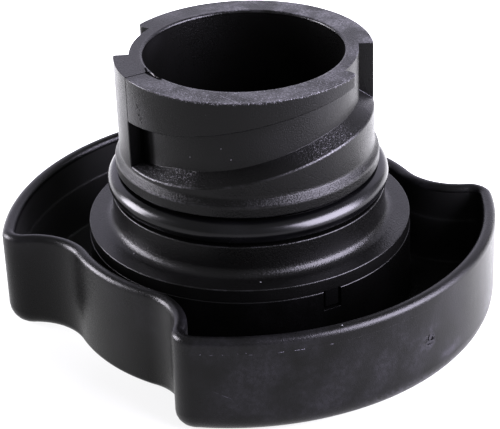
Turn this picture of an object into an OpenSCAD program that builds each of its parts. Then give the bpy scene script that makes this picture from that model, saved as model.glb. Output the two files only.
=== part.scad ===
// Oil filler cap, standing on its head: winged grip shell below, bayonet neck pointing up.
// Units are millimetres. Origin: centre of the resting face. +Z runs up along the neck,
// +X runs along the middle of the two grip lobes. All angles are degrees about +Z.

/* [Grip] */
// height of the grip wall from the resting face to its rounded rim
grip_h = 17.3; // [16:0.1:18.5]
// wall thickness above the inner ledge
grip_wall = 2.2; // [1.8:0.1:2.6]
// extra wall thickness below the inner ledge
ledge_w = 0.5; // [0.3:0.1:0.6]
// height of the inner ledge
ledge_z = 11.1; // [8:0.1:13]
// thickness of the grip floor
grip_floor = 3; // [2:0.1:4]
// radius of the long outer curve of a lobe
lobe_r = 43.2; // [42:0.1:45]
// how far the centre of the lobe curve lies behind the cap centre
lobe_shift = 2.7; // [2:0.1:3.4]
// outer radius at the corner of a lobe
tip_r = 3.9; // [3.8:0.1:4.4]
// direction of the lobe corner seen from the lobe centre
tip_turn = 51; // [49:0.1:52]
// radius of the hollow curve beside a lobe
valley_r = 9.3; // [8.5:0.1:10]
// outer radius of the round waist between the lobes
waist_r = 31; // [30.8:0.1:31.4]
// rounding along the resting edge of a lobe
lobe_round = 3.5; // [2.5:0.1:3.7]
// rounding along the resting edge of the waist
waist_round = 0.8; // [0.5:0.1:2]
// fillet between the grip floor and the grip wall
floor_fillet = 1.1; // [0.8:0.05:1.2]

/* [Collar] */
// outer radius of the collar that carries the neck
collar_r = 27; // [26:0.1:27.2]
// height of the collar top, where the flange sits
collar_top = 15.3; // [14:0.1:16]
// wall thickness of the collar
collar_wall = 3; // [2:0.1:3.5]
// width of a key on the underside of the flange
key_w = 2.6; // [2:0.1:4]
// length of a key below the flange
key_len = 3.1; // [2:0.1:4]
// direction of the first key
key_turn = -13; // [-25:0.5:5]

/* [Neck] */
// height of the neck rim above the resting face
neck_top = 46.6; // [46:0.1:48]
// outer radius of the neck
neck_r = 21; // [20.8:0.1:21.2]
// radius of the blind bore
bore_r = 16.25; // [15:0.05:16.5]
// height of the blind bore bottom
bore_bottom = 18; // [17.7:0.1:20]
// chamfer on the rim edges
rim_chamfer = 0.2; // [0.1:0.05:0.4]
// outer radius of the flange
flange_r = 26.9; // [26:0.1:27]
// thickness of the flange
flange_t = 2.2; // [1.8:0.1:2.4]
// radius of the hub between flange and seal groove
hub_r = 22.7; // [22.5:0.1:23]
// height of the hub top, the lower side of the seal groove
hub_top = 22.8; // [22.4:0.1:22.9]
// fillet between the hub and the flange
hub_fillet = 1.5; // [1:0.1:2]
// radius of the seal groove floor
groove_r = 19.5; // [19.3:0.05:19.8]
// radius of the lip above the seal groove
lip_r = 21.8; // [21.6:0.1:22]
// lower side of the lip
lip_bottom = 27.4; // [27.2:0.1:27.6]
// upper side of the straight band of the lip
lip_band_top = 28.7; // [28.5:0.1:28.9]
// height where the lip slope meets the neck wall
lip_slope_top = 30.3; // [30:0.1:30.7]

/* [Tracks] */
// depth of the bayonet tracks below the neck surface
track_depth = 2.5; // [2:0.1:2.7]
// direction of the closed side of the entry notch
notch_turn = 51; // [48:0.5:53]
// width of the entry notch as an angle
notch_span = 34.5; // [30:0.5:38]
// direction of the end wall of the track
track_end_turn = -103.5; // [-106:0.5:-98]
// depth of the upper track side below the rim at the notch
track_roof = 1.9; // [1.6:0.1:2.4]
// how far the upper track side drops along the track
roof_drop = 5.8; // [5:0.1:6.2]
// depth of the lower track side below the rim at the notch
track_sill = 9.7; // [9.2:0.1:10]
// how far the lower track side drops along the track
sill_drop = 5.75; // [5:0.05:5.9]
// how much the lower track side rises towards its inner edge
sill_rise = 1.6; // [0:0.1:1.8]
// rounding of the rim corner beside the notch, seen from above
notch_round = 1.4; // [1:0.1:2.4]
// chamfer along the outer edges of the tracks
track_chamfer = 0.25; // [0.1:0.05:0.4]

/* [Seal] */
// cord radius of the rubber ring
cord_r = 1.9; // [1.7:0.05:2]
// height of the middle of the rubber ring
seal_z = 24.9; // [24.8:0.1:25]

/* [Hidden] */
$fn = 96;
// sideways play between a key and its slot
key_clear = 0.2;
// radial play between the spigot and the collar
spigot_clear = 0.15;
// wall thickness of the spigot below the flange
spigot_wall = 2.4;
// play under the spigot and under the keys
end_clear = 0.3;
// how far the cutters reach past the solid they cut
reach = 1;
// share of the even helix slope taken out at both ends of a track side
roof_ease = 0.38;
sill_ease = 0.6;
// angle from the notch wall at which the sill starts and stops to drop
sill_start = 17;
sill_stop = 142;
// angle before the end wall over which the rise of the sill fades, and the share left at the wall
sill_fade = 30;
sill_end_share = 0.2;
// last direction of the rim corner rounding, from the notch towards the neck surface
notch_round_turn = 60;
notch_round_steps = 5;
// angle step of the helical faces
track_step = 4;
// share of the change of rounding that happens around a lobe corner
tip_ease = 0.35;
// number of flats along each arc of the grip outline
lobe_steps = 22;
tip_steps = 8;
valley_steps = 7;
waist_steps = 9;
// number of flats along each rounding of the grip wall
rest_steps = 5;
rim_steps = 8;
fillet_steps = 3;
flange_top = collar_top + flange_t;
collar_in = collar_r - collar_wall;
lower_wall = grip_wall + ledge_w;
rim_r = grip_wall / 2;
track_r = neck_r - track_depth;
track_span = notch_turn - track_end_turn;
seal_r = groove_r + cord_r;
// centre of the lobe corner and of the hollow beside it, both in the first quarter
tip_reach = lobe_r - tip_r;
tip_c = [tip_reach * cos(tip_turn) - lobe_shift, tip_reach * sin(tip_turn)];
tip_dist = norm(tip_c);
valley_dist = waist_r + valley_r;
valley_gap = tip_r + valley_r;
valley_cos = (pow(valley_dist, 2) + pow(tip_dist, 2) - pow(valley_gap, 2)) / (2 * valley_dist * tip_dist);
valley_turn = atan2(tip_c[1], tip_c[0]) + acos(valley_cos);
valley_c = valley_dist * [cos(valley_turn), sin(valley_turn)];
tip_end = atan2(valley_c[1] - tip_c[1], valley_c[0] - tip_c[0]);

// Points along one arc of the outline. The side is 1 where the outline bulges and -1 where it
// is hollow. Each entry is [point, outward direction, rounding along the resting edge], and the
// rounding changes evenly from the start of the arc to its end.
function outline_arc(centre, radius, side, turns, rounds, count) =
    [for (i = [0:count - 1])
        let (part = (i + 0.5) / count)
        let (turn = turns[0] + (turns[1] - turns[0]) * part)
        let (away = [cos(turn), sin(turn)])
        [centre + radius * away, side * away, rounds[0] + (rounds[1] - rounds[0]) * part]];

// Half of the outline, from the lower corner of the +X lobe round to the -X side.
tip_round = lobe_round * (1 - tip_ease) + waist_round * tip_ease;
half_outline = concat(
    outline_arc([-lobe_shift, 0], lobe_r, 1, [-tip_turn, tip_turn], [lobe_round, lobe_round], lobe_steps),
    outline_arc(tip_c, tip_r, 1, [tip_turn, tip_end], [lobe_round, tip_round], tip_steps),
    outline_arc(valley_c, valley_r, -1, [tip_end + 180, valley_turn + 180],
        [tip_round, waist_round], valley_steps),
    outline_arc([0, 0], waist_r, 1, [valley_turn, 180 - valley_turn], [waist_round, waist_round], waist_steps),
    outline_arc([-valley_c[0], valley_c[1]], valley_r, -1, [-valley_turn, -tip_end],
        [waist_round, tip_round], valley_steps),
    outline_arc([-tip_c[0], tip_c[1]], tip_r, 1, [180 - tip_end, 180 - tip_turn],
        [tip_round, lobe_round], tip_steps)
);
outline = concat(half_outline, [for (p = half_outline) [-p[0], -p[1], p[2]]]);

// Points along an arc of the wall section, from one direction to another.
function section_arc(centre, radius, from, to, count) =
    [for (i = [0:count])
        let (turn = from + (to - from) * i / count)
        centre + radius * [cos(turn), sin(turn)]];

// Section of the grip wall from the resting face over the rim to the floor. The first value
// is the distance outward from the outline, which is negative inside it; the second is the height.
function wall_section(rest_round) = concat(
    section_arc([-rest_round, rest_round], rest_round, 270, 360, rest_steps),
    section_arc([-rim_r, grip_h - rim_r], rim_r, 0, 180, rim_steps),
    [[-grip_wall, ledge_z], [-lower_wall, ledge_z - ledge_w / 2]],
    section_arc([-lower_wall - floor_fillet, grip_floor + floor_fillet], floor_fillet, 0, -90, fillet_steps)
);

// The winged shell: the wall section carried round the outline, closed by the floor.
module winged_shell() {
    rounds = len(outline);
    sections = [for (o = outline) wall_section(o[2])];
    rows = len(sections[0]);
    ring_points = [for (r = [0:rows - 1], k = [0:rounds - 1])
        let (w = sections[k][r], p = outline[k][0] + w[0] * outline[k][1])
        [p[0], p[1], w[1]]];
    low_centre = rows * rounds;
    floor_centre = low_centre + 1;
    polyhedron(
        points = concat(ring_points, [[0, 0, 0], [0, 0, grip_floor]]),
        faces = concat(
            [for (k = [0:rounds - 1]) [low_centre, k, (k + 1) % rounds]],
            [for (r = [0:rows - 2], k = [0:rounds - 1])
                let (n = (k + 1) % rounds)
                [r * rounds + k, (r + 1) * rounds + k, (r + 1) * rounds + n, r * rounds + n]],
            [for (k = [0:rounds - 1])
                let (top = (rows - 1) * rounds)
                [floor_centre, top + (k + 1) % rounds, top + k]]
        ),
        convexity = 8
    );
}

// Slots in the collar top, one for each key.
module key_slots() {
    for (turn = [key_turn, key_turn + 180])
        rotate([0, 0, turn])
            translate([collar_in - reach, -key_w / 2 - key_clear, collar_top - key_len - end_clear])
                cube([collar_wall + 2 * reach, key_w + 2 * key_clear, key_len + end_clear + reach]);
}

module grip_shell() {
    color([0.10, 0.10, 0.11])
        union() {
            winged_shell();
            difference() {
                translate([0, 0, grip_floor / 2])
                    cylinder(h = collar_top - grip_floor / 2, r = collar_r);
                translate([0, 0, grip_floor / 2 - reach])
                    cylinder(h = collar_top, r = collar_in);
                key_slots();
            }
        }
}

// Half section of the neck before the tracks are cut.
module neck_section() {
    spigot_r = collar_in - spigot_clear;
    difference() {
        union() {
            polygon([
                [0, collar_top],
                [spigot_r - spigot_wall, collar_top],
                [spigot_r - spigot_wall, collar_top - key_len],
                [spigot_r, collar_top - key_len],
                [spigot_r, collar_top],
                [flange_r, collar_top],
                [flange_r, flange_top - rim_chamfer],
                [flange_r - rim_chamfer, flange_top],
                [hub_r, flange_top],
                [hub_r, hub_top],
                [groove_r, hub_top],
                [groove_r, lip_bottom],
                [lip_r - rim_chamfer, lip_bottom],
                [lip_r, lip_bottom + rim_chamfer],
                [lip_r, lip_band_top],
                [neck_r, lip_slope_top],
                [neck_r, neck_top - rim_chamfer],
                [neck_r - rim_chamfer, neck_top],
                [bore_r + rim_chamfer, neck_top],
                [bore_r, neck_top - rim_chamfer],
                [bore_r, bore_bottom],
                [0, bore_bottom]
            ]);
            translate([hub_r - reach / 2, flange_top - reach / 2])
                square(hub_fillet + reach / 2);
        }
        translate([hub_r + hub_fillet, flange_top + hub_fillet])
            circle(r = hub_fillet);
    }
}

// Height of a track side: an even helix, eased at both ends so that it starts and stops gently.
function side_z(start_z, drop, ease, t) =
    let (u = min(1, max(0, t)))
    start_z - drop * (u - ease * sin(360 * u) / 360 * 180 / PI);
function roof_z(away) =
    side_z(neck_top - track_roof, roof_drop, roof_ease, (away - notch_span) / (track_span - notch_span));
function sill_z(away) =
    side_z(neck_top - track_sill, sill_drop, sill_ease, (away - sill_start) / (sill_stop - sill_start));

// Section of a track at an angle away from the notch wall, from an inner radius outward. The
// lower side rises inward and both outer edges are flared.
function track_section(away, roof, inner) =
    let (sill = sill_z(away), turn = notch_turn - away, edge = neck_r - track_chamfer)
    let (fade = min(1, sill_end_share + (track_span - away) / sill_fade))
    let (rise = sill_rise * fade / (edge - track_r))
    [for (p = [
        [inner, sill + rise * (edge - inner)],
        [edge, sill],
        [neck_r + reach, sill - track_chamfer - reach],
        [neck_r + reach, roof + track_chamfer + reach],
        [edge, roof],
        [inner, roof]
    ]) [p[0] * cos(turn), p[0] * sin(turn), p[1]]];

// Solid that joins a row of six-point sections.
module sections_solid(sections) {
    count = len(sections);
    last = 6 * (count - 1);
    polyhedron(
        points = [for (s = sections) each s],
        faces = concat(
            [[0, 1, 4, 5], [1, 2, 3, 4]],
            [for (k = [0:count - 2], i = [0:5])
                let (a = 6 * k + i, b = 6 * k + (i + 1) % 6)
                [a, a + 6, b]],
            [for (k = [0:count - 2], i = [0:5])
                let (a = 6 * k + i, b = 6 * k + (i + 1) % 6)
                [b, a + 6, b + 6]],
            [[last + 5, last + 4, last + 1, last], [last + 4, last + 3, last + 2, last + 1]]
        ),
        convexity = 6
    );
}

// One bayonet track: the open entry notch with its rounded rim corner, then the helical run
// down to the end wall.
module track_cutter() {
    run = track_span - notch_span;
    run_steps = ceil(run / track_step);
    notch_steps = ceil(notch_span / track_step);
    open_top = neck_top + reach;
    inner = track_r - reach / 4;
    round_degrees = notch_round / neck_r * 180 / PI;
    intersection() {
        union() {
            sections_solid([for (i = [0:notch_steps])
                track_section(notch_span * i / notch_steps, open_top, inner)]);
            sections_solid([for (i = [0:notch_round_steps])
                let (turn = notch_round_turn * i / notch_round_steps)
                track_section(notch_span + round_degrees * (1 - cos(turn)), open_top,
                    neck_r - notch_round * (1 - sin(turn)))]);
            sections_solid([for (i = [0:run_steps])
                let (away = notch_span + run * i / run_steps)
                track_section(away, roof_z(away), inner)]);
        }
        difference() {
            cylinder(h = neck_top + 2 * reach, r = neck_r + reach / 2);
            cylinder(h = neck_top + 2 * reach, r = track_r);
        }
    }
}

module bayonet_neck() {
    key_out = flange_r - key_clear - collar_in + spigot_wall;
    color([0.12, 0.12, 0.13])
        difference() {
            union() {
                rotate_extrude()
                    neck_section();
                for (turn = [key_turn, key_turn + 180])
                    rotate([0, 0, turn])
                        translate([collar_in - spigot_wall, -key_w / 2, collar_top - key_len])
                            cube([key_out, key_w, key_len + flange_t / 2]);
            }
            track_cutter();
            rotate([0, 0, 180])
                track_cutter();
        }
}

module seal_ring() {
    color([0.05, 0.05, 0.05])
        rotate_extrude()
            translate([seal_r, seal_z])
                circle(r = cord_r);
}

grip_shell();
bayonet_neck();
seal_ring();
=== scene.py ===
import bmesh
import bpy
import numpy as np
from mathutils import Matrix, Vector


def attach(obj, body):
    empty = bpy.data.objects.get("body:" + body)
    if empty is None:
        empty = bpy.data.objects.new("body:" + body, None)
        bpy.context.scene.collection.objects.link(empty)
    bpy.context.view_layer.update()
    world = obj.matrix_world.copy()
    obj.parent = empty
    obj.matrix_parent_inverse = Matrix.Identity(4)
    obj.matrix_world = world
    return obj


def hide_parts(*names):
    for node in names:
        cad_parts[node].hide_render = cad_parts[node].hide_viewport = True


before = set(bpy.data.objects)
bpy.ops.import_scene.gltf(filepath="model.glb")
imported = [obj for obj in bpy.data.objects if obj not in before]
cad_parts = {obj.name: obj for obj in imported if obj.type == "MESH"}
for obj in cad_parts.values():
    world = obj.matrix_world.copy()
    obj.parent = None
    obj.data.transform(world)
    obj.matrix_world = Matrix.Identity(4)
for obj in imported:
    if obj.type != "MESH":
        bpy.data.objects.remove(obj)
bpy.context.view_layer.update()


# Grip shell
# One black nylon moulding: a floor with a thin wall that runs round two finger lobes and a round
# waist, and a plain collar in the middle that carries the neck. The mould halves meet in a fine
# line below the rim of the wall.

# Lengths are in millimetres, and turns in degrees about +Z.
MM = 0.001
GRIP_HEIGHT = 17.3
WALL = 2.2
LEDGE_WIDTH = 0.5
LEDGE_HEIGHT = 11.1
LEDGE_EASE = 2.4
FLOOR_HEIGHT = 3.0
FLOOR_FILLET = 1.1
FLOOR_EASE = 3.2
FLOOR_LAP = 0.1
UNDERSIDE_REACH = 12
LOBE_RADIUS = 43.2
LOBE_SHIFT = 2.7
CORNER_RADIUS = 3.9
CORNER_TURN = 51.0
CORNER_EASE = 0.35
HOLLOW_RADIUS = 9.3
WAIST_RADIUS = 31.0
LOBE_REST_ROUND = 3.5
WAIST_REST_ROUND = 0.8
MOULD_LINE_HEIGHT = 14.9
MOULD_LINE_HALF = 0.06
MOULD_LINE_PROUD = 0.012
MOULD_LINE_FOOT_ROUND = 0.03
MOULD_LINE_TIP_ROUND = 0.02
COLLAR_RADIUS = 27.0
COLLAR_TOP = 15.3
COLLAR_WALL = 3.0
COLLAR_ROUND = 0.2
COLLAR_ROUND_SHARES = (0.4, 1, 1, 2.5, 0)
COLLAR_WEAR = 0.3
SLOT_TURN = -13.0
SLOT_WIDTH = 3.0
SLOT_DEPTH = 3.4
SLOT_ROUND = 0.05

# How finely arcs are divided, which roundings wear pale, and when points count as one. The inside
# of the wall starts after the sixth corner of its section.
ARC_STEPS = 6
LOBE_POINTS = 131
CORNER_POINTS = 21
HOLLOW_POINTS = 25
WAIST_POINTS = 33
GUARD_GAP = 0.12
WORN_CUT = 0.5
MERGE_DISTANCE = 0.002
FLAT_DISTANCE = 0.001
SHARP_TURN = 40
ROWS_PER_CORNER = ARC_STEPS + 3
FIRST_INNER_ROW = 6 * ROWS_PER_CORNER

# The black nylon of both mouldings. A noise scale counts waves to a metre, and a grain depth is in
# metres.
GRAIN_SCALE = 4200
CLOUD_SCALE = 60
PATCH_SCALE = 420
WORN_PATCHES = (0.4, 0.65)
WORN_CLOUDS = (0.5, 0.75)
EDGE_WORN = 0.6
FACE_WORN = 0.15
GRAIN_GLOSS = 0.20
CLOUD_GLOSS = 0.20
PATCH_GLOSS = 0.05
PATCH_HEIGHT = 0.04
DUST_HEIGHT = 1.5
DUST_CELLS = 620
DUST_SHARE = 0.02
DUST_LOT = 0.004
DUST_DISC = (0.05, 0.10)
DUST_COLOUR = (0.22, 0.22, 0.23, 1)
DULL_BLACK = (0.002, 0.002, 0.002, 1)
BUMP_STRENGTH = 0.55
GRIP_GRAIN_DEPTH = 0.00006

# Marks on the grip. A spot is its middle, radius and soft edge, a stroke its two ends, radius and
# soft edge, and flecks are a noise's scale, detail and roughness and where they start and end.
GRIP_DARK = (0.0024, 0.0024, 0.0022, 1)
GRIP_WORN = (0.014, 0.0138, 0.0145, 1)
GRIP_GLOSS = 0.30
GRIP_PALE = (0.09, 0.086, 0.105, 1)
# The inside of the wall is coloured lighter than the outside: painted light, standing in for the light
# that reaches the hollows of the lobes.
INSIDE_PAINTED_LIGHT_COLOUR = (0.032, 0.032, 0.031, 1)
COLLAR_COLOUR = (0.0006, 0.0006, 0.0005, 1)
PIT_SPOT = ((40.4, 1.0, 9.1), 0.55, 0.8)
PIT_FLECKS = (1500, 2.0, 0.7, 0.50, 0.56)
PIT_DEPTH = 6
BARE_SPOT = ((40.4, 1.0, 9.1), 1.2, 2.0)
BARE_PATCHES = (0.45, 0.6)
BARE_PALE = 0.12
FLASH_BAND = (0.03, 0.11)
FLASH_FLECKS = (260, 2.0, 0.6, 0.56, 0.62)
FLASH_WAY = (0.829, -0.559)
FLASH_REACH = (38.2, 39.0)
FLASH_DASHES = (
    ((33.13, -24.12, 14.88), (33.60, -23.40, 14.92), 0.03, 0.06),
    ((34.46, -21.96, 14.9), (35.24, -20.66, 14.92), 0.03, 0.06),
)
DASH_FLECKS = (900, 2.0, 0.6, 0.38, 0.50)
FLASH_SPECKS = ((29.4, -28.8, 15.1), (30.2, -27.9, 15.2), (27.8, -30.5, 14.95), (25.4, -32.8, 14.9))
FLASH_SPECK_SIZE = (0.05, 0.08)
FLASH_PALE = 0.7
FLASH_RISE = 2
FOOT_BAND = (1.4, 3.6)
FOOT_WAY = (0.98, 0.20)
FOOT_EXTENT = (35, 38)
FOOT_SHARE = 0.6
FOOT_CORNER_SPOT = ((34.5, 21.5, 4.0), 2.0, 4.5)
FOOT_CORNER_SHARE = 0.3
FOOT_FLECKS = (1500, 4.0, 0.7, 0.45, 0.65)
FOOT_PALE = 0.7
RUB_STROKE = ((40.1, 4.6, 4.3), (39.4, 8.8, 5.0), 0.1, 1.3)
RUB_PATCHES = (0.35, 0.6)
RUB_PALE = 0.14
SMEAR_CLOUDS = (38, 2.0, 0.55, 0.45, 0.72)
SMEAR_PATCHES = (150, 4.0, 0.6, 0.3, 0.75)
SMEAR_FLECKS = (1300, 3.0, 0.7, 0.40, 0.62)
SMEAR_SHARE = 0.6
SMEAR_PALE = 0.09
SMEAR_ROUGH = 0.06
SCRATCH_STROKE = ((26.3, -31.95, 8.6), (28.7, -29.65, 7.0), 0.03, 0.08)
SCRATCH_FLECKS = (1100, 2.0, 0.6, 0.40, 0.54)
SCRATCH_PALE = 0.4
COLLAR_BAND = (COLLAR_RADIUS + 0.2, COLLAR_RADIUS + 0.6)
COLLAR_SHARE = 0.85
HANDLED_REACH = (34, 40)
HANDLED_ROUGH = 0.05
INSIDE_ROUGH = 0.05
# Painted shade: a spot at the foot of the key slot is darkened with the black face.
SLOT_SHADE_SPOT = ((24.8, -5.7, 11.9), 1.8, 0.6)
SLOT_SHADE_SHARE = 0.8
# Painted shade: the inside of the lobe on the +X side is darkened with the black face.
RIGHT_SHADE_REACH = (0, 12)
RIGHT_SHADE_SHARE = 0.65


def rounded_path(corners, cuts):
    """Points along a broken line whose corners are rounded, and how worn each point is.

    corners has a row for each column of the surface, and a corner C gives way to the quarter
    curve A + (C - A) sin t + (B - C)(1 - cos t), where A and B lie the cut before and after it.
    One guard point stands outside each end of the curve. Wear is the sine of twice t, times the
    sine of the corner's turn. It is 0 where the corner turns inward or is cut by more than
    WORN_CUT.
    """
    legs = np.diff(corners, axis=1)
    lengths = np.linalg.norm(legs, axis=2, keepdims=True)
    ways = legs / np.maximum(lengths, 1e-9)
    cuts = np.broadcast_to(cuts, lengths[:, 1:, 0].shape)[..., None]
    before = np.minimum(cuts, lengths[:, :-1] / 2)
    after = np.minimum(cuts, lengths[:, 1:] / 2)
    middle = corners[:, 1:-1]
    start = middle - ways[:, :-1] * before
    end = middle + ways[:, 1:] * after
    turn = np.linspace(0, np.pi / 2, ARC_STEPS + 1)[:, None]
    curve = (start[:, :, None] + (middle - start)[:, :, None] * np.sin(turn)
             + (end - middle)[:, :, None] * (1 - np.cos(turn)))
    guard_gap = np.where(cuts > 0, GUARD_GAP, 0.0)
    guard_before = middle - ways[:, :-1] * np.minimum(before + guard_gap, lengths[:, :-1] / 2)
    guard_after = middle + ways[:, 1:] * np.minimum(after + guard_gap, lengths[:, 1:] / 2)
    points = np.concatenate([guard_before[:, :, None], curve, guard_after[:, :, None]], axis=2)
    outward = ways[:, :-1, 0] * ways[:, 1:, 1] - ways[:, :-1, 1] * ways[:, 1:, 0]
    worn = ((cuts > 0) & (cuts <= WORN_CUT)) * np.clip(outward, 0, 1)[..., None]
    wear = np.zeros(points.shape[:3])
    wear[:, :, 1:-1] = np.sin(2 * turn[:, 0]) * worn
    columns = len(corners)
    points = points.reshape(columns, -1, 2)
    wear = wear.reshape(columns, -1)
    ends = np.zeros((columns, 1))
    points = np.concatenate([corners[:, :1], points, corners[:, -1:]], axis=1)
    return points, np.concatenate([ends, wear, ends], axis=1)


def surface_object(name, points, wear, marked_region=None, wrap_rows=False):
    """A mesh object from a grid of points in millimetres, columns closed into a ring.

    points is (columns, rows, 3), with the columns running anticlockwise and the rows from the
    underside outward and up; wrap_rows closes those too. Equal neighbours are merged, which closes
    poles and plain stretches. wear and scuff are numbers from 0 to 1 at each point that the
    material reads.
    """
    columns, rows = points.shape[:2]
    index = np.arange(columns * rows).reshape(columns, rows)
    right = np.roll(index, -1, axis=0)
    if wrap_rows:
        index = np.concatenate([index, index[:, :1]], axis=1)
        right = np.concatenate([right, right[:, :1]], axis=1)
    faces = np.stack([index[:, :-1], right[:, :-1], right[:, 1:], index[:, 1:]], axis=-1)
    mesh = bpy.data.meshes.new(name)
    mesh.from_pydata((points.reshape(-1, 3) * MM).tolist(), [], faces.reshape(-1, 4).tolist())
    marked_region = np.zeros(wear.shape) if marked_region is None else marked_region
    for marking, share in (("wear", wear), ("marked_region", marked_region)):
        layer = mesh.attributes.new(marking, "FLOAT", "POINT")
        layer.data.foreach_set("value", share.reshape(-1).astype(np.float32))
    merged = bmesh.new()
    merged.from_mesh(mesh)
    bmesh.ops.remove_doubles(merged, verts=merged.verts, dist=MERGE_DISTANCE * MM)
    bmesh.ops.dissolve_degenerate(merged, edges=merged.edges, dist=FLAT_DISTANCE * MM)
    merged.to_mesh(mesh)
    merged.free()
    mesh.shade_smooth()
    mesh.set_sharp_from_angle(angle=np.radians(SHARP_TURN))
    made = bpy.data.objects.new(name, mesh)
    bpy.context.scene.collection.objects.link(made)
    return made


def outline_arc(centre, radius, side, turns, rounds):
    """Stations of one arc: points centre + radius * direction, the outward direction, which is
    turned round where the side is -1, and the rounding of the resting edge, changing evenly."""
    share = (turns - turns[0]) / (turns[-1] - turns[0])
    away = np.stack([np.cos(np.radians(turns)), np.sin(np.radians(turns))], axis=1)
    rounding = rounds[0] + (rounds[1] - rounds[0]) * share
    stations = np.concatenate([centre + radius * away, side * away, rounding[:, None]], axis=1)
    return stations[:-1]


def grip_stations():
    """The grip's outline, and 1 at the stations beside a key slot. Half of it runs from the lower
    corner of one lobe round to the next lobe: the lobe arc, the corner, the hollow, the waist, and
    the hollow and corner again mirrored. Each hollow touches the corner and the waist, so its
    centre lies at the sum of their radii from both. The other half is the first turned round."""
    corner_turn = np.radians(CORNER_TURN)
    reach = LOBE_RADIUS - CORNER_RADIUS
    corner = np.array([reach * np.cos(corner_turn) - LOBE_SHIFT, reach * np.sin(corner_turn)])
    corner_distance = np.hypot(*corner)
    hollow_distance = WAIST_RADIUS + HOLLOW_RADIUS
    gap = CORNER_RADIUS + HOLLOW_RADIUS
    cosine = (hollow_distance**2 + corner_distance**2 - gap**2) / (2 * hollow_distance * corner_distance)
    hollow_turn = np.arctan2(corner[1], corner[0]) + np.arccos(cosine)
    hollow = hollow_distance * np.array([np.cos(hollow_turn), np.sin(hollow_turn)])
    join = np.degrees(np.arctan2(hollow[1] - corner[1], hollow[0] - corner[0]))
    waist = np.degrees(hollow_turn)
    flip = np.array([-1.0, 1.0])
    rests = (LOBE_REST_ROUND, LOBE_REST_ROUND * (1 - CORNER_EASE) + WAIST_REST_ROUND * CORNER_EASE,
             WAIST_REST_ROUND)
    slot_half = np.degrees(SLOT_WIDTH / 2 / (COLLAR_RADIUS - COLLAR_WALL / 2))
    slot_radians = np.radians(SLOT_TURN + slot_half * np.array([-1, 1]))
    lobe_edges = np.degrees(slot_radians - np.arcsin(LOBE_SHIFT / LOBE_RADIUS * np.sin(slot_radians)))
    lobe_turns = np.linspace(-CORNER_TURN, CORNER_TURN, LOBE_POINTS)
    lobe_turns = np.sort(np.concatenate([lobe_turns, lobe_edges, lobe_edges]))
    flat = (rests[0], rests[0])
    round_waist = (rests[2], rests[2])
    corner_turns = np.linspace(CORNER_TURN, join, CORNER_POINTS)
    hollow_turns = np.linspace(join + 180, waist + 180, HOLLOW_POINTS)
    waist_turns = np.linspace(waist, 180 - waist, WAIST_POINTS)
    parts = [
        outline_arc(np.array([-LOBE_SHIFT, 0]), LOBE_RADIUS, 1, lobe_turns, flat),
        outline_arc(corner, CORNER_RADIUS, 1, corner_turns, rests[:2]),
        outline_arc(hollow, HOLLOW_RADIUS, -1, hollow_turns, rests[1:]),
        outline_arc(np.zeros(2), WAIST_RADIUS, 1, waist_turns, round_waist),
        outline_arc(hollow * flip, HOLLOW_RADIUS, -1, 180 - hollow_turns[::-1], rests[:0:-1]),
        outline_arc(corner * flip, CORNER_RADIUS, 1, 180 - corner_turns[::-1], rests[1::-1]),
    ]
    inside = np.zeros(len(lobe_turns) - 1)
    first = np.searchsorted(lobe_turns, lobe_edges[0]) + 1
    last = np.searchsorted(lobe_turns, lobe_edges[1]) + 1
    inside[first:last] = 1
    half = np.concatenate(parts)
    slotted = np.concatenate([inside, np.zeros(len(half) - len(inside))])
    other = half * np.array([-1, -1, -1, -1, 1])
    return np.concatenate([half, other]), np.concatenate([slotted, slotted])


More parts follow.
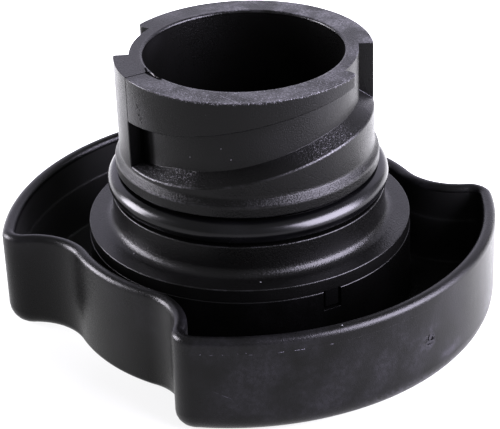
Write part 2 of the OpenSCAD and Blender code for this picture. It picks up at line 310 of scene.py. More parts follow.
def grip_surface():
    """The whole shell as one grid, with its wear, and 1 on the inside of the wall and its foot.
    Down to the floor, a row is the outline moved outward by the wall section's distance; from the
    floor inward, a row is a circle at the same direction."""
    stations, slotted = grip_stations()
    place = stations[:, :2]
    away = stations[:, 2:4]
    rest = stations[:, 4]
    count = len(stations)
    line_foot = MOULD_LINE_HEIGHT - MOULD_LINE_HALF
    line_head = MOULD_LINE_HEIGHT + MOULD_LINE_HALF
    inner_wall = WALL + LEDGE_WIDTH
    section = np.array([
        [-UNDERSIDE_REACH, 0], [0, 0], [0, line_foot], [MOULD_LINE_PROUD, MOULD_LINE_HEIGHT],
        [0, line_head], [0, GRIP_HEIGHT], [-WALL, GRIP_HEIGHT], [-WALL, LEDGE_HEIGHT],
        [-inner_wall, LEDGE_HEIGHT - LEDGE_WIDTH / 2], [-inner_wall, FLOOR_HEIGHT],
        [-inner_wall - FLOOR_FILLET - FLOOR_LAP, FLOOR_HEIGHT],
    ])
    cuts = np.zeros((count, len(section) - 2))
    cuts[:, 0] = rest
    cuts[:, 1:] = [MOULD_LINE_FOOT_ROUND, MOULD_LINE_TIP_ROUND, MOULD_LINE_FOOT_ROUND,
                   WALL / 2, WALL / 2, LEDGE_EASE, LEDGE_EASE, FLOOR_EASE]
    walls, wall_wear = rounded_path(np.broadcast_to(section, (count, *section.shape)), cuts)
    outer = place[:, None] + walls[:, :, :1] * away[:, None]
    outer = np.concatenate([outer, walls[:, :, 1:]], axis=2)
    top = COLLAR_TOP - SLOT_DEPTH * slotted
    inner_radius = COLLAR_RADIUS - COLLAR_WALL
    radii = [COLLAR_RADIUS + FLOOR_LAP, COLLAR_RADIUS, COLLAR_RADIUS, inner_radius, inner_radius, 1, 0]
    collar = np.zeros((count, len(radii), 2))
    collar[:, :, 0] = radii
    collar[:, :, 1] = FLOOR_HEIGHT
    collar[:, 2:4, 1] = top[:, None]
    edge = COLLAR_ROUND - (COLLAR_ROUND - SLOT_ROUND) * slotted[:, None]
    rings, ring_wear = rounded_path(collar, edge * COLLAR_ROUND_SHARES)
    foot = outer[:, -1, :2]
    direction = foot / np.linalg.norm(foot, axis=1, keepdims=True)
    inner = np.concatenate([rings[:, :, :1] * direction[:, None], rings[:, :, 1:]], axis=2)
    pole = np.zeros((count, 1, 3))
    points = np.concatenate([pole, outer, inner], axis=1)
    wear = np.concatenate([np.zeros((count, 1)), wall_wear, ring_wear * COLLAR_WEAR], axis=1)
    inside = np.zeros(wear.shape)
    inside[:, 1 + FIRST_INNER_ROW:1 + outer.shape[1]] = 1
    return points, wear, inside


class Paint:
    """One socket of a material's nodes. Sums on it add Math nodes, and node adds any other."""

    def __init__(self, tree, socket):
        self.tree = tree
        self.socket = socket

    def node(self, kind, settings, values, output=0):
        """A new node. Its settings are set first, then its sockets get numbers or links."""
        made = self.tree.nodes.new(kind)
        for name, value in settings.items():
            setattr(made, name, value)
        for name, value in values.items():
            if isinstance(value, Paint):
                self.tree.links.new(value.socket, made.inputs[name])
            else:
                made.inputs[name].default_value = value
        return Paint(self.tree, made.outputs[output])

    def math(self, operation, *values):
        return self.node("ShaderNodeMath", {"operation": operation}, dict(enumerate(values)))

    def __add__(self, other):
        return self.math("ADD", self, other)

    def __radd__(self, other):
        return self.math("ADD", other, self)

    def __sub__(self, other):
        return self.math("SUBTRACT", self, other)

    def __rsub__(self, other):
        return self.math("SUBTRACT", other, self)

    def __mul__(self, other):
        return self.math("MULTIPLY", self, other)

    def __rmul__(self, other):
        return self.math("MULTIPLY", other, self)

    def __abs__(self):
        return self.math("ABSOLUTE", self)

    def root(self):
        return self.math("SQRT", self)

    def larger(self, other):
        return self.math("MAXIMUM", self, other)

    def smaller(self, other):
        return self.math("MINIMUM", self, other)

    def between(self, low, high):
        """0 below low, 1 above high, and a smooth step from one to the other."""
        values = {"Value": self, "From Min": low, "From Max": high, "To Min": 0.0, "To Max": 1.0}
        return self.node("ShaderNodeMapRange", {"interpolation_type": "SMOOTHSTEP"}, values)

    def inside(self, rise, fall):
        """0 below and above, 1 between the two, with a smooth step at rise and at fall."""
        return self.between(*rise) * (1 - self.between(*fall))

    def noise(self, scale, detail=2.0, roughness=0.5):
        """Noise over this vector, with scale waves to a metre."""
        values = {"Vector": self, "Scale": scale, "Detail": detail, "Roughness": roughness}
        return self.node("ShaderNodeTexNoise", {"noise_dimensions": "3D"}, values)

    def flecks(self, scale, detail, roughness, low, high):
        """Patches of that noise, 0 where it is below low and 1 where it is above high."""
        return self.noise(scale, detail, roughness).between(low, high)

    def marking(self, name):
        """The number kept under that name at the points of the mesh."""
        return self.node("ShaderNodeAttribute", {"attribute_name": name}, {}, output=2)

    def mix(self, low, high):
        """A colour between two colours, this being the share of the second."""
        values = {0: self, 6: low, 7: high}
        return self.node("ShaderNodeMix", {"data_type": "RGBA"}, values, output=2)


def new_material(name, **fixed):
    """A material with a Principled shader, whose fixed sockets get their numbers here. Gives the
    material, its shader node and the place on the piece, x, y and z apart, in millimetres."""
    material = bpy.data.materials.new(name)
    material.use_nodes = True
    tree = material.node_tree
    shader = tree.nodes["Principled BSDF"]
    for socket, value in fixed.items():
        shader.inputs[socket.replace("_", " ")].default_value = value
    place = Paint(tree, tree.nodes.new("ShaderNodeTexCoord").outputs["Object"])
    apart = tree.nodes.new("ShaderNodeSeparateXYZ")
    tree.links.new(place.socket, apart.inputs[0])
    axes = [Paint(tree, apart.outputs[k]) * (1 / MM) for k in range(3)]
    return material, shader, place, axes


def wire(shader, **links):
    """Links values to the shader's sockets by name."""
    for socket, value in links.items():
        value.tree.links.new(value.socket, shader.inputs[socket.replace("_", " ")])


def dust(place):
    """Specks of pale dust: a small disc round the middle of a few cells, in a share of them."""
    settings = {"feature": "F1", "voronoi_dimensions": "3D"}
    values = {"Vector": place, "Scale": DUST_CELLS, "Randomness": 1.0}
    near = place.node("ShaderNodeTexVoronoi", settings, values)
    cell = place.node("ShaderNodeTexVoronoi", settings, values, output=1)
    lot = place.node("ShaderNodeSeparateColor", {}, {0: cell})
    return (1 - near.between(*DUST_DISC)) * lot.between(1 - DUST_SHARE, 1 - DUST_SHARE + DUST_LOT)


def plastic(name, dark, worn, gloss):
    """Black nylon straight from the mould: a very dark colour that wear and handling turn grey,
    a satin face with clouds of more and less gloss, and a fine grain in the surface. Gives the
    material, its shader, the place, its x, y and z in millimetres, and a dictionary of values
    that the piece's own marks change."""
    material, shader, place, axes = new_material(name, IOR=1.5, Specular_IOR_Level=0.25)
    wear = place.marking("wear")
    grain = place.noise(GRAIN_SCALE, 2.0, 0.6)
    clouds = place.noise(CLOUD_SCALE, 2.0, 0.5)
    patches = place.noise(PATCH_SCALE, 4.0, 0.65)
    specks = dust(place)
    rubbed = wear * patches.between(*WORN_PATCHES) * EDGE_WORN + clouds.between(*WORN_CLOUDS) * FACE_WORN
    rough = gloss + (grain - 0.5) * GRAIN_GLOSS + (clouds - 0.5) * CLOUD_GLOSS
    parts = {
        "colour": specks.mix(rubbed.mix(dark, worn), DUST_COLOUR),
        "rough": rough + (patches - 0.5) * PATCH_GLOSS,
        "height": grain + patches * PATCH_HEIGHT + specks * DUST_HEIGHT,
        "patches": patches,
    }
    return material, shader, place, axes, parts


def finish_plastic(piece, material, shader, parts, black_share, depth):
    """Links the finished values, mixes in a black face with no gloss where the plastic is
    cracked, pitted or matt and where shade is painted on it, and gives the material to the
    piece. depth is that of the grain."""
    bump = {"Height": parts["height"], "Strength": BUMP_STRENGTH, "Distance": depth}
    normal = parts["height"].node("ShaderNodeBump", {}, bump)
    wire(shader, Base_Color=parts["colour"], Roughness=parts["rough"], Normal=normal)
    tree = material.node_tree
    black = tree.nodes.new("ShaderNodeBsdfPrincipled")
    black.inputs["Base Color"].default_value = DULL_BLACK
    black.inputs["Specular IOR Level"].default_value = 0.0
    black.inputs["Roughness"].default_value = 1.0
    both = tree.nodes.new("ShaderNodeMixShader")
    tree.links.new(black_share.socket, both.inputs[0])
    tree.links.new(shader.outputs[0], both.inputs[1])
    tree.links.new(black.outputs[0], both.inputs[2])
    tree.links.new(both.outputs[0], tree.nodes["Material Output"].inputs["Surface"])
    piece.data.materials.append(material)


def toward(axes, way):
    """How far a place lies along a level direction from the axis of the neck."""
    return axes[0] * way[0] + axes[1] * way[1]


def from_axis(axes):
    """How far a place lies from the axis of the neck."""
    return (axes[0] * axes[0] + axes[1] * axes[1]).root()


def spot(axes, middle, radius, soft):
    """1 inside a ball round a place in millimetres, fading to 0 over the soft distance."""
    away = [axis - at for axis, at in zip(axes, middle)]
    squares = away[0] * away[0] + away[1] * away[1] + away[2] * away[2]
    return 1 - squares.root().between(radius, radius + soft)


def stroke(axes, start, end, radius, soft):
    """1 near the straight line between two places in millimetres, fading to 0 over the soft
    distance. The nearest place on the line lies at the clipped share of the way along it."""
    way = [b - a for a, b in zip(start, end)]
    length = sum(step * step for step in way)
    share = sum((axis - a) * (step / length) for axis, a, step in zip(axes, start, way))
    share = share.smaller(1.0).larger(0.0)
    away = [axis - (a + share * step) for axis, a, step in zip(axes, start, way)]
    squares = sum(part * part for part in away)
    return 1 - squares.root().between(radius, radius + soft)


grip = surface_object("grip_moulding", *grip_surface())
nylon, shader, place, axes, parts = plastic("grip_nylon", GRIP_DARK, GRIP_WORN, GRIP_GLOSS)
inside = place.marking("marked_region")
pit = spot(axes, *PIT_SPOT) * place.flecks(*PIT_FLECKS)
bare = spot(axes, *BARE_SPOT) * parts["patches"].between(*BARE_PATCHES)
line = 1 - abs(axes[2] - MOULD_LINE_HEIGHT).between(*FLASH_BAND)
flash = line * place.flecks(*FLASH_FLECKS) * toward(axes, FLASH_WAY).between(*FLASH_REACH)
dashes = sum(stroke(axes, *dash) for dash in FLASH_DASHES)
flash = flash.larger(dashes * place.flecks(*DASH_FLECKS))
for middle in FLASH_SPECKS:
    flash = flash.larger(spot(axes, middle, *FLASH_SPECK_SIZE))
foot = (1 - axes[2].between(*FOOT_BAND)) * toward(axes, FOOT_WAY).between(*FOOT_EXTENT)
foot = foot * FOOT_SHARE + spot(axes, *FOOT_CORNER_SPOT) * FOOT_CORNER_SHARE
foot = foot * place.flecks(*FOOT_FLECKS)
rub = stroke(axes, *RUB_STROKE) * parts["patches"].between(*RUB_PATCHES)
smear = place.flecks(*SMEAR_CLOUDS) * place.flecks(*SMEAR_PATCHES) * (1 - inside)
smear = smear * (SMEAR_SHARE + place.flecks(*SMEAR_FLECKS) * SMEAR_SHARE)
scratch = stroke(axes, *SCRATCH_STROKE) * place.flecks(*SCRATCH_FLECKS)
pale = flash * FLASH_PALE + bare * BARE_PALE + smear * SMEAR_PALE + scratch * SCRATCH_PALE
pale = pale + foot * FOOT_PALE + rub * RUB_PALE
collar = (1 - from_axis(axes).between(*COLLAR_BAND)) * COLLAR_SHARE
handled = axes[0].between(*HANDLED_REACH)
# The inside of the wall takes the lighter inside colour, which is painted light in the hollows.
parts["colour"] = inside.mix(pale.mix(parts["colour"], GRIP_PALE), INSIDE_PAINTED_LIGHT_COLOUR)
parts["colour"] = collar.mix(parts["colour"], COLLAR_COLOUR)
parts["rough"] = parts["rough"] + smear * SMEAR_ROUGH + inside * INSIDE_ROUGH + handled * HANDLED_ROUGH
parts["height"] = parts["height"] - pit * PIT_DEPTH + flash * FLASH_RISE
# Painted shade over the foot of the key slot, mixed in as the black face.
slot_shade = spot(axes, *SLOT_SHADE_SPOT) * SLOT_SHADE_SHARE
# Painted shade inside the lobe on the +X side.
right_lobe_shade = inside * axes[0].between(*RIGHT_SHADE_REACH) * RIGHT_SHADE_SHARE
# Share of the black face: the real pit, and the painted shade at the slot foot and inside the +X lobe.
black_share = pit.larger(slot_shade).larger(right_lobe_shade)
finish_plastic(grip, nylon, shader, parts, black_share, GRIP_GRAIN_DEPTH)
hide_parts("grip_shell")
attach(grip, "root")


# Bayonet neck
# A second black moulding, pressed into the collar: a flange, a hub with the seal groove, and a
# tube with two bayonet tracks that open at the rim and run down and round to an end wall.

NECK_TOP = 46.6
NECK_RADIUS = 21.0
BORE_RADIUS = 16.25
BORE_BOTTOM = 18.0
BORE_ROUND = 0.45
BORE_FLOOR_ROUND = 0.4
RIM_ROUND = 0.12
EDGE_ROUND = 0.2
FLANGE_RADIUS = 26.9
FLANGE_TOP = 17.5
FLANGE_FOOT_ROUND = 0.12
HUB_RADIUS = 22.7
HUB_TOP = 22.8
HUB_FILLET = 1.5
GROOVE_RADIUS = 19.5
LIP_RADIUS = 21.8
LIP_BOTTOM = 27.4
LIP_BAND_TOP = 29.25
LIP_SLOPE_TOP = 30.3
LIP_ROUND = 0.3
LIP_EASE = 0.5
SPIGOT_RADIUS = 23.85
SPIGOT_WALL = 2.4
SPIGOT_LENGTH = 3.1
KEY_WIDTH = 2.6
KEY_SHORT = 0.2
KEY_ROUND = 0.25
KEY_LAP = 1
KEY_CORNER_POINTS = 5
KEY_TURNS = (("key_front", SLOT_TURN), ("key_back", SLOT_TURN + 180))
NICK_TURN = 256.0
NICK_SPANS = (0.0, 1.0, 3.0, 4.5, 6.5, 8.0, 9.5, 11.5)
NICK_DEPTHS = (0.0, 0.15, 0.10, 0.45, 0.70, 0.35, 0.50, 0.0)
TRACK_RADIUS = 18.5
NOTCH_TURN = 51.0
NOTCH_SPAN = 34.5
TRACK_SPAN = 154.5
ROOF_START = NECK_TOP - 1.9
ROOF_DROP = 5.8
ROOF_EASE = 0.38
SILL_START = NECK_TOP - 9.7
SILL_DROP = 5.75
SILL_EASE = 0.6
SILL_FROM = 17.0
SILL_TO = 142.0
SILL_RISE = 1.6
SILL_FADE = 30.0
SILL_END_SHARE = 0.2
NOTCH_ROUND = 1.4
TRACK_EDGE = 0.25
TRACK_ROOT_ROUND = 0.03
NOTCH_POINTS = 41
NOTCH_CORNER_POINTS = 12
TRACK_POINTS = 131
PLAIN_POINTS = 25
EDGE_POINTS = 5

# Marks on the neck, written as those on the grip. A stroke with level ends has no height.
NECK_DARK = (0.0027, 0.0027, 0.0025, 1)
NECK_WORN = (0.018, 0.0177, 0.0190, 1)
NECK_GLOSS = 0.31
NECK_PALE = (0.16, 0.157, 0.17, 1)
NECK_GRAIN_DEPTH = 0.0001
SPARK_FLECKS = (4600, 2.0, 0.7, 0.58, 0.65)
LEFT_BLAST_SPOT = ((1.9, -19.9, 31.5), 2.0, 6.5)
RIGHT_BLAST_SPOT = ((20.0, -0.5, 36.5), 2.0, 5.0)
RIGHT_BLAST = 0.5
BLAST_PATCHES = (0.4, 0.6)
BLAST_LEAST = 0.4
BLAST_PALE = 1.1
BLAST_ROUGH = 0.08
BLAST_RISE = 1.2
EDGE_CHIP_FLECKS = (2600, 2.0, 0.7, 0.42, 0.58)
RIGHT_EDGE_CHIPS = 0.6
EDGE_CHIP_PALE = 0.8
FRONT_WAY = (0.94, -0.34)
FRONT_REACH = (0, 10)
BACK_WAY = (-0.44, 0.90)
BACK_REACH = (6, 14)
RIM_BAND = (NECK_TOP - 0.15, NECK_TOP - 0.02)
RIM_ROUGH = 0.05
RIM_SPARK_PALE = 0.6
RUBBED_BACK = 1.6
RUBBED_FLECKS = (190, 3.0, 0.6, 0.38, 0.62)
RUBBED_LEAST = 0.4
RUBBED_FINE_FLECKS = (2400, 3.0, 0.7, 0.42, 0.62)
RUBBED_PALE = 0.22
RIM_EDGE_BAND = (NECK_TOP - 0.4, NECK_TOP - 0.15)
RIM_EDGE_REACH = (20.2, 20.7)
RIM_EDGE_PALE = 0.9
# A painted highlight along the foot of the notch wall, where it meets the track side.
NOTCH_FOOT_HIGHLIGHT_BAND = (0.08, 0.24)
NOTCH_FOOT_HIGHLIGHT = 0.8
SEAM_TURN = -103.3
SEAM_BAND = (0.05, 0.15)
SEAM_REACH = (16.4, 16.9)
SEAM_FOOT = (LIP_SLOPE_TOP, LIP_SLOPE_TOP + 1)
SEAM_DEPTH = 3
SEAM_DULL = 0.8
GOUGE_STROKE = ((-1.2, -20.97, 43.1), (-0.8, -20.98, 40.0), 0.25, 0.7)
GOUGE_FLECKS = (2300, 2.0, 0.7, 0.55, 0.62)
GOUGE_DEPTH = 4
GOUGE_DULL = 0.75
# A paler patch of wall right of the seam, fading out.
SEAM_SIDE_PALE_SPOT = ((-3.0, -20.8, 40.0), 1.5, 5.0)
SEAM_SIDE_PALE = 0.10
CHIP_STROKES = (
    ((-5.4, -15.9), (-3.9, -16.8), 0.10, 0.15),
    ((-3.9, -16.8), (-0.6, -16.9), 0.30, 0.15),
)
CHIP_BAND = (45.2, 45.5)
# The chip at the bore's rim is darkened with the black face as its painted shadow; the nick itself is
# cut into the rim.
CHIP_SHADOW_SHARE = 0.95
SLIVER_STROKE = ((-3.3, -16.4), (-1.5, -16.6), 0.12, 0.10)
SLIVER_COLOUR = (0.13, 0.125, 0.115, 1)
RIM_SCRATCH_STROKE = ((10.8, -14.4), (15.3, -14.3), 0.04, 0.08)
RIM_SCRATCH_PALE = 0.4
# A painted glint on the rim's outer edge.
GLINT_SPOT = ((-1.2, -21.0, 46.5), 1.2, 1.6)
GLINT_BAND = (46.3, 46.45)
GLINT_BRIGHTNESS = 0.8
BORE_EDGE_BAND = (45.95, 46.1)
BORE_EDGE_REACH = (16.72, 16.82)
BORE_EDGE_GLOSS = 0.14
LIP_BAND = ((29.2, 29.4), (30.2, 30.4))
LIP_GRAIN = 0.8
# A share of the black face is mixed into the lip band, which dims its highlight.
LIP_DIMMING = 0.20
# Painted shade: the neck below the collar top, its spigot and keys, is darkened with the black face.
COLLAR_SHADE_BAND = (COLLAR_TOP - 0.15, COLLAR_TOP)
COLLAR_SHADE_SHARE = 0.7
# Painted shade on the track floor next to the closed end of the track, where the end wall shades it.
TRACK_END_SHADE_REACH = ((17.5, 17.8), (18.8, 19.2))
TRACK_END_SHADE_SIDE = (-3.7, -2.5)
TRACK_END_SHADE_TOP = (41.5, 42.5)
TRACK_END_SHADE_END = (-2, 0)
TRACK_END_SHADE_SHARE = 0.7
DUST_SPOT_SIZE = (0.02, 0.12)
DUST_PALE = 0.8
DUST_PLACES = (
    (19.05, 1.26, 46.6), (19.95, 4.41, 36.64), (19.89, 6.44, 31.66), (20.67, -4.69, 29.84),
    (6.39, -17.36, 35.65), (12.14, -13.91, 35.92), (10.98, -14.85, 37.75), (16.99, -12.24, 46.46),
)


def track_side(start, drop, ease, share):
    """Height of a track side: an even helix whose slope is eased at both ends by a sine."""
    share = np.clip(share, 0, 1)
    return start - drop * (share - ease * np.sin(2 * np.pi * share) / (2 * np.pi))


def neck_columns():
    """Half a turn of the neck as columns: the angle from the notch wall, the radius of the track
    floor, and the radius above the track. At a wall two columns share one angle. An outer edge
    beside a wall is a quarter circle of columns."""
    quarter = np.linspace(0, np.pi / 2, EDGE_POINTS)
    edge_angle = np.degrees(TRACK_EDGE / NECK_RADIUS)
    edge_away = edge_angle * (1 - np.sin(quarter))
    edge_radius = NECK_RADIUS - TRACK_EDGE * (1 - np.cos(quarter))
    round_angle = np.degrees(NOTCH_ROUND / NECK_RADIUS)
    corner = np.linspace(0, np.pi / 2, NOTCH_CORNER_POINTS)
    corner_away = NOTCH_SPAN + round_angle * (1 - np.cos(corner))
    corner_radius = NECK_RADIUS - NOTCH_ROUND * (1 - np.sin(corner))
    notch_away = np.linspace(0, NOTCH_SPAN, NOTCH_POINTS)
    run_away = np.linspace(corner_away[-1], TRACK_SPAN, TRACK_POINTS)[1:]
    plain_away = np.linspace(TRACK_SPAN + edge_angle, 180 - edge_angle, PLAIN_POINTS)[1:-1]
    cut = np.concatenate([notch_away, corner_away, run_away])
    away = np.concatenate([cut, TRACK_SPAN + edge_away[::-1], plain_away, 180 - edge_away])
    plain = np.full_like(plain_away, NECK_RADIUS)
    over_run = np.full(len(run_away) + EDGE_POINTS, NECK_RADIUS)
    over_notch = np.full_like(notch_away, TRACK_RADIUS)
    floor = np.concatenate([np.full_like(cut, TRACK_RADIUS), edge_radius[::-1], plain, edge_radius])
    above = np.concatenate([over_notch, corner_radius, over_run, plain, edge_radius])
    return away, floor, above


def neck_surface():
    """The neck as one grid, with its wear, and 1 on the lower track side. Each column carries the
    same corners: the underside, the flange, the hub, the seal groove, the lip, the two track
    sides, the rim and the blind bore. Where there is no track its corners lie on the plain wall."""
    away, floor, above = (np.tile(values, 2) for values in neck_columns())
    count = len(away)
    turn = np.radians(NOTCH_TURN - away)
    turn[:count // 2] += 2 * np.pi
    turn[count // 2:] += np.pi
    from_nick = (np.degrees(turn) - NICK_TURN) % 360
    nick = np.interp(from_nick, NICK_SPANS, NICK_DEPTHS, period=360)
    roof_share = (away - NOTCH_SPAN) / (TRACK_SPAN - NOTCH_SPAN)
    roof = track_side(ROOF_START, ROOF_DROP, ROOF_EASE, roof_share)
    sill_share = (away - SILL_FROM) / (SILL_TO - SILL_FROM)
    sill = track_side(SILL_START, SILL_DROP, SILL_EASE, sill_share)
    fade = np.clip(SILL_END_SHARE + (TRACK_SPAN - away) / SILL_FADE, 0, 1)
    slope = SILL_RISE * fade / (NECK_RADIUS - TRACK_EDGE - TRACK_RADIUS)
    sill_edge = sill - slope * TRACK_EDGE
    sill_inner = sill_edge + slope * (NECK_RADIUS - floor)
    spigot_in = SPIGOT_RADIUS - SPIGOT_WALL
    spigot_low = COLLAR_TOP - SPIGOT_LENGTH
    steady = [
        (0, COLLAR_TOP, 0), (spigot_in, COLLAR_TOP, 0), (spigot_in, spigot_low, 0),
        (SPIGOT_RADIUS, spigot_low, 0), (SPIGOT_RADIUS, COLLAR_TOP, 0),
        (FLANGE_RADIUS, COLLAR_TOP, FLANGE_FOOT_ROUND),
        (FLANGE_RADIUS, FLANGE_TOP, EDGE_ROUND),
        (HUB_RADIUS, FLANGE_TOP, HUB_FILLET), (HUB_RADIUS, HUB_TOP, EDGE_ROUND),
        (GROOVE_RADIUS, HUB_TOP, EDGE_ROUND), (GROOVE_RADIUS, LIP_BOTTOM, EDGE_ROUND),
        (LIP_RADIUS, LIP_BOTTOM, EDGE_ROUND), (LIP_RADIUS, LIP_BAND_TOP, LIP_ROUND),
        (NECK_RADIUS, LIP_SLOPE_TOP, LIP_EASE),
    ]
    edge = np.full(count, NECK_RADIUS)
    moving = [
        (edge, sill_edge, TRACK_EDGE), (floor, sill_inner, TRACK_ROOT_ROUND),
        (floor, roof, TRACK_ROOT_ROUND), (above, roof, TRACK_EDGE),
        (above, np.full(count, NECK_TOP), RIM_ROUND),
    ]
    closing = [
        (BORE_RADIUS, NECK_TOP, BORE_ROUND), (BORE_RADIUS, BORE_BOTTOM, BORE_FLOOR_ROUND),
        (0, BORE_BOTTOM, 0),
    ]
    corners = np.zeros((count, len(steady) + len(moving) + len(closing), 2))
    cuts = np.zeros(corners.shape[:2])
    for k, (radius, height, cut) in enumerate(steady + moving + closing):
        corners[:, k, 0] = radius
        corners[:, k, 1] = height
        cuts[:, k] = cut
    cuts[:, len(steady) + len(moving)] += nick
    path, wear = rounded_path(corners, cuts[:, 1:-1])
    first_sill_row = len(steady) * ROWS_PER_CORNER - 1
    on_sill = np.zeros(path.shape[:2])
    on_sill[:, first_sill_row:first_sill_row + ROWS_PER_CORNER] = 1
    x = path[:, :, 0] * np.cos(turn)[:, None]
    y = path[:, :, 0] * np.sin(turn)[:, None]
    points = np.stack([x, y, path[:, :, 1]], axis=2)
    return points[::-1], wear[::-1], on_sill[::-1]


def key_surface(turn):
    """A key under the flange: a rectangle with quarter-circle corners, carried from its rounded
    foot up into the flange, and turned about the axis of the neck."""
    start = np.radians([[-90], [0], [90], [180]])
    facing = (start + np.radians(np.linspace(0, 90, KEY_CORNER_POINTS))).reshape(-1)
    away = np.stack([np.cos(facing), np.sin(facing)], axis=1)
    side = np.repeat(np.array([[1, -1], [1, 1], [-1, 1], [-1, -1]]), KEY_CORNER_POINTS, axis=0)
    inner = SPIGOT_RADIUS - SPIGOT_WALL
    outer = FLANGE_RADIUS - KEY_SHORT
    middle = np.array([(outer + inner) / 2, 0])
    half = np.array([(outer - inner) / 2, KEY_WIDTH / 2]) - KEY_ROUND
    place = middle + side * half + away * KEY_ROUND
    foot = COLLAR_TOP - SPIGOT_LENGTH
    head = COLLAR_TOP + KEY_LAP
    section = np.array([[-1, foot], [0, foot], [0, head], [-1, head]])
    path, wear = rounded_path(np.broadcast_to(section, (len(place), *section.shape)), KEY_ROUND)
    outline = place[:, None] + path[:, :, :1] * away[:, None]
    points = np.concatenate([outline, path[:, :, 1:]], axis=2)
    lowest, highest = (np.broadcast_to([*middle, end], (len(place), 1, 3)) for end in (foot, head))
    points = np.concatenate([lowest, points[:, 1:-1], highest], axis=1)
    cosine, sine = np.cos(np.radians(turn)), np.sin(np.radians(turn))
    turned = points @ np.array([[cosine, sine, 0], [-sine, cosine, 0], [0, 0, 1]])
    return turned, wear


def level_way(turn):
    """The level direction at that turn."""
    return float(np.cos(np.radians(turn))), float(np.sin(np.radians(turn)))


neck = surface_object("neck_moulding", *neck_surface())
keys = [surface_object(name, *key_surface(turn)) for name, turn in KEY_TURNS]
nylon, shader, place, axes, parts = plastic("neck_nylon", NECK_DARK, NECK_WORN, NECK_GLOSS)
on_sill = place.marking("marked_region")
wear = place.marking("wear")
sparks = place.flecks(*SPARK_FLECKS)
outward = from_axis(axes)
front = toward(axes, FRONT_WAY).between(*FRONT_REACH)
back = toward(axes, BACK_WAY).between(*BACK_REACH)
left_zone = spot(axes, *LEFT_BLAST_SPOT)
right_zone = spot(axes, *RIGHT_BLAST_SPOT)
blasted = on_sill * (left_zone + right_zone * RIGHT_BLAST)
blasted = blasted * (BLAST_LEAST + (1 - BLAST_LEAST) * parts["patches"].between(*BLAST_PATCHES))
edge_chips = wear * (left_zone + right_zone * RIGHT_EDGE_CHIPS) * place.flecks(*EDGE_CHIP_FLECKS)
on_rim = axes[2].between(*RIM_BAND)
rubbed_rim = on_rim * (front + back * RUBBED_BACK) * place.flecks(*RUBBED_FLECKS)
rubbed_rim = rubbed_rim * (RUBBED_LEAST + place.flecks(*RUBBED_FINE_FLECKS))
rim_edge = axes[2].between(*RIM_EDGE_BAND) * outward.between(*RIM_EDGE_REACH) * front
off_notch = toward(axes, level_way(NOTCH_TURN - 90))
# Painted highlight along the foot of the notch wall.
notch_foot_highlight = on_sill * (1 - abs(off_notch).between(*NOTCH_FOOT_HIGHLIGHT_BAND))
off_seam = toward(axes, level_way(SEAM_TURN - 90))
along_seam = toward(axes, level_way(SEAM_TURN))
seam = (1 - abs(off_seam).between(*SEAM_BAND)) * along_seam.between(*SEAM_REACH)
seam = seam * axes[2].between(*SEAM_FOOT)
gouge = stroke(axes, *GOUGE_STROKE) * place.flecks(*GOUGE_FLECKS)
sliver = stroke(axes[:2], *SLIVER_STROKE)
# Painted shadow in the chip at the bore's rim, where the nick is cut.
chip_shadow = sum(stroke(axes[:2], *part) for part in CHIP_STROKES)
chip_shadow = chip_shadow * (1 - sliver) * axes[2].between(*CHIP_BAND)
rim_scratch = stroke(axes[:2], *RIM_SCRATCH_STROKE) * on_rim
# Painted glint on the outer edge of the rim.
glint = spot(axes, *GLINT_SPOT) * wear * axes[2].between(*GLINT_BAND)
pale = blasted * sparks * BLAST_PALE + rubbed_rim * RUBBED_PALE
pale = pale + on_rim * front * sparks * RIM_SPARK_PALE + rim_edge * sparks * RIM_EDGE_PALE
pale = pale + edge_chips * EDGE_CHIP_PALE + notch_foot_highlight * NOTCH_FOOT_HIGHLIGHT
pale = pale + rim_scratch * RIM_SCRATCH_PALE + glint * GLINT_BRIGHTNESS
# A paler patch of wall right of the seam.
pale = pale + spot(axes, *SEAM_SIDE_PALE_SPOT) * SEAM_SIDE_PALE
for middle in DUST_PLACES:
    pale = pale.larger(spot(axes, middle, *DUST_SPOT_SIZE) * DUST_PALE)
parts["colour"] = sliver.mix(pale.mix(parts["colour"], NECK_PALE), SLIVER_COLOUR)
bore_edge = axes[2].between(*BORE_EDGE_BAND) * (1 - outward.between(*BORE_EDGE_REACH))
parts["rough"] = parts["rough"] + blasted * BLAST_ROUGH + on_rim * RIM_ROUGH
parts["rough"] = parts["rough"] - bore_edge * BORE_EDGE_GLOSS
# The lip band has a coarser grain, and a share of the black face that dims its highlight.
lip = axes[2].inside(*LIP_BAND)
parts["height"] = parts["height"] * (1 + lip * LIP_GRAIN) + blasted * sparks * BLAST_RISE
parts["height"] = parts["height"] - seam * SEAM_DEPTH - gouge * GOUGE_DEPTH
# Painted shade on the neck below the collar top.
collar_shade = 1 - axes[2].between(*COLLAR_SHADE_BAND)
# Painted shade on the track floor at the closed end of the track.
track_end_shade = outward.inside(*TRACK_END_SHADE_REACH) * off_seam.between(*TRACK_END_SHADE_SIDE)
track_end_shade = track_end_shade * (1 - axes[2].between(*TRACK_END_SHADE_TOP)) * (1 - axes[1].between(*TRACK_END_SHADE_END))
# Share of the black face: the real seam and gouge, the painted shadow in the chip, the painted shade
# below the collar top and at the track end, and the dimming of the lip band.
black_share = seam * SEAM_DULL + gouge * GOUGE_DULL + chip_shadow * CHIP_SHADOW_SHARE
black_share = black_share + collar_shade * COLLAR_SHADE_SHARE + track_end_shade * TRACK_END_SHADE_SHARE + lip * LIP_DIMMING
finish_plastic(neck, nylon, shader, parts, black_share.smaller(1.0), NECK_GRAIN_DEPTH)
for key in keys:
    key.data.materials.append(nylon)
for piece in (neck, *keys):
    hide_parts("bayonet_neck")
    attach(piece, "root")


# Seal ring
# A black nitrile rubber ring of round cord, stretched into the groove between hub and lip. Its
# mould leaves a hair line round the outside.

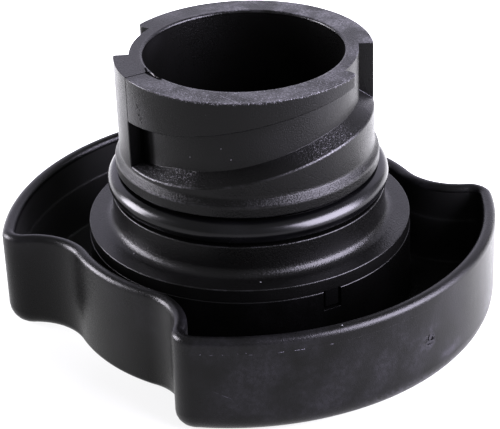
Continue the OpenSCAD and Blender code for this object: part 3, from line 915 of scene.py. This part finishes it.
CORD_RADIUS = 1.9
RING_RADIUS = 21.4
RING_HEIGHT = 24.9
RING_POINTS = 360
CORD_POINTS = 60
RIDGE_PROUD = 0.02
RIDGE_SPREAD = 0.05
RUBBER_DARK = (0.0014, 0.0014, 0.0016, 1)
RUBBER_SMEARED = (0.005, 0.005, 0.0055, 1)
RUBBER_GLOSS = 0.255
FINE_SCALE = 2600
FINE_GLOSS = 0.06
FINE_STRENGTH = 0.15
FINE_DEPTH = 0.00002
SMEAR_SCALE = 90
SMEAR_GLOSS = 0.10
SMEAR_BAND = (0.4, 0.8)


def ring_surface():
    """A circle of cord carried round a circle, with a fine ridge round its outside. The ridge
    falls off with the square of the angle from the outside, as a bell curve does."""
    around = np.linspace(0, 2 * np.pi, RING_POINTS, endpoint=False)[:, None]
    about = np.linspace(-np.pi, np.pi, CORD_POINTS, endpoint=False)[None, :]
    ridge = RIDGE_PROUD * np.exp(-(about / RIDGE_SPREAD) ** 2)
    cord = CORD_RADIUS + ridge - RIDGE_PROUD
    radius = RING_RADIUS + cord * np.cos(about)
    shape = np.broadcast(around, about).shape
    height = np.broadcast_to(RING_HEIGHT + cord * np.sin(about), shape)
    points = np.stack([radius * np.cos(around), radius * np.sin(around), height], axis=2)
    return points, np.zeros(shape)


ring = surface_object("seal_rubber_ring", *ring_surface(), wrap_rows=True)
rubber, shader, place, axes = new_material("seal_nitrile", IOR=1.5, Specular_IOR_Level=0.34)
fine = place.noise(FINE_SCALE, 2.0, 0.5)
smears = place.noise(SMEAR_SCALE, 2.0, 0.5)
bump = {"Height": fine, "Strength": FINE_STRENGTH, "Distance": FINE_DEPTH}
wire(
    shader,
    Base_Color=smears.between(*SMEAR_BAND).mix(RUBBER_DARK, RUBBER_SMEARED),
    Roughness=RUBBER_GLOSS + (fine - 0.5) * FINE_GLOSS + (smears - 0.5) * SMEAR_GLOSS,
    Normal=place.node("ShaderNodeBump", {}, bump),
)
ring.data.materials.append(rubber)
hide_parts("seal_ring")
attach(ring, "root")


# Studio
# A plain pale floor under the cap, which gives off more light towards the back, soft lights round
# it, and the camera of the photograph. Places and sizes are in metres here, apart from GLOW_REACH.

CAMERA_PLACE = (0.199567, -0.172870, 0.159847)
CAMERA_WAY = (-0.663905, 0.575353, -0.477702)
CAMERA_ROLL = -2.1145
CAMERA_LENS = 128.276
CAMERA_SENSOR = 36
CAMERA_NEAR = 0.01
FLOOR_HALF = 3
PAPER_COLOURS = ((0.15, 0.15, 0.15, 1), (0.16, 0.16, 0.16, 1))
PAPER_SCALE = 30
GLOW_STRENGTH = 2.2
GLOW_WAY = (-0.421, 0.907)
GLOW_REACH = (-34, 50)
GLOW_COLOURS = ((0.30, 0.30, 0.30, 1), (0.97, 0.96, 1.0, 1))
AIM_PLACE = (0, 0, 0.02)
SKY_COLOUR = (0.97, 0.98, 1.0, 1)
SKY_STRENGTH = 0.42

# Each light has a name, a place, a size, a power and a tint.
LIGHTS = (
    ("right_light", (0.50, 0.24, 0.26), (0.56, 0.50), 20.0, (0.86, 0.82, 1.0)),
    ("left_light", (-0.50, -0.38, 0.18), (0.30, 0.40), 7.5, (0.94, 0.91, 1.0)),
    ("back_light", (-0.60, 0.52, 0.36), (1.80, 0.76), 4.8, (0.84, 0.80, 1.0)),
    ("top_light", (0.0, 0.0, 0.90), (0.60, 0.60), 0.9, (1, 1, 1)),
)


def aim(made, place, way, roll=0.0):
    """Puts a light or camera at a place, looking along a direction, rolled about it."""
    forward = Vector(way).normalized()
    right = forward.cross(Vector((0, 0, 1))).normalized()
    up = right.cross(forward)
    turned = Matrix((right, up, -forward)).transposed() @ Matrix.Rotation(np.radians(roll), 3, "Z")
    made.matrix_world = Matrix.Translation(place) @ turned.to_4x4()


camera_data = bpy.data.cameras.new("camera")
camera_data.sensor_width = CAMERA_SENSOR
camera_data.lens = CAMERA_LENS
camera_data.clip_start = CAMERA_NEAR
camera = bpy.data.objects.new("camera", camera_data)
bpy.context.scene.collection.objects.link(camera)
aim(camera, CAMERA_PLACE, CAMERA_WAY, CAMERA_ROLL)
bpy.context.scene.camera = camera

floor_mesh = bpy.data.meshes.new("floor")
sides = ((-1, -1), (1, -1), (1, 1), (-1, 1))
floor_mesh.from_pydata([(x * FLOOR_HALF, y * FLOOR_HALF, 0) for x, y in sides], [], [(0, 1, 2, 3)])
floor = bpy.data.objects.new("floor", floor_mesh)
bpy.context.scene.collection.objects.link(floor)
paper, shader, place, axes = new_material("floor_paper", Roughness=0.9, Specular_IOR_Level=0.1)
shader.inputs["Emission Strength"].default_value = GLOW_STRENGTH
wire(
    shader,
    Base_Color=place.noise(PAPER_SCALE, 2.0).mix(*PAPER_COLOURS),
    Emission_Color=toward(axes, GLOW_WAY).between(*GLOW_REACH).mix(*GLOW_COLOURS),
)
floor_mesh.materials.append(paper)


def softbox(name, place, size, power, tint):
    """A rectangular soft light of that size, aimed at the middle of the cap."""
    data = bpy.data.lights.new(name, "AREA")
    data.shape = "RECTANGLE"
    data.size, data.size_y = size
    data.energy = power
    data.color = tint
    made = bpy.data.objects.new(name, data)
    bpy.context.scene.collection.objects.link(made)
    aim(made, place, Vector(AIM_PLACE) - Vector(place))


for light in LIGHTS:
    softbox(*light)

world = bpy.data.worlds.new("studio")
world.use_nodes = True
world.node_tree.nodes["Background"].inputs[0].default_value = SKY_COLOUR
world.node_tree.nodes["Background"].inputs[1].default_value = SKY_STRENGTH
bpy.context.scene.world = world
bpy.context.scene.view_settings.view_transform = "Standard"
bpy.context.scene.view_settings.look = "Medium High Contrast"
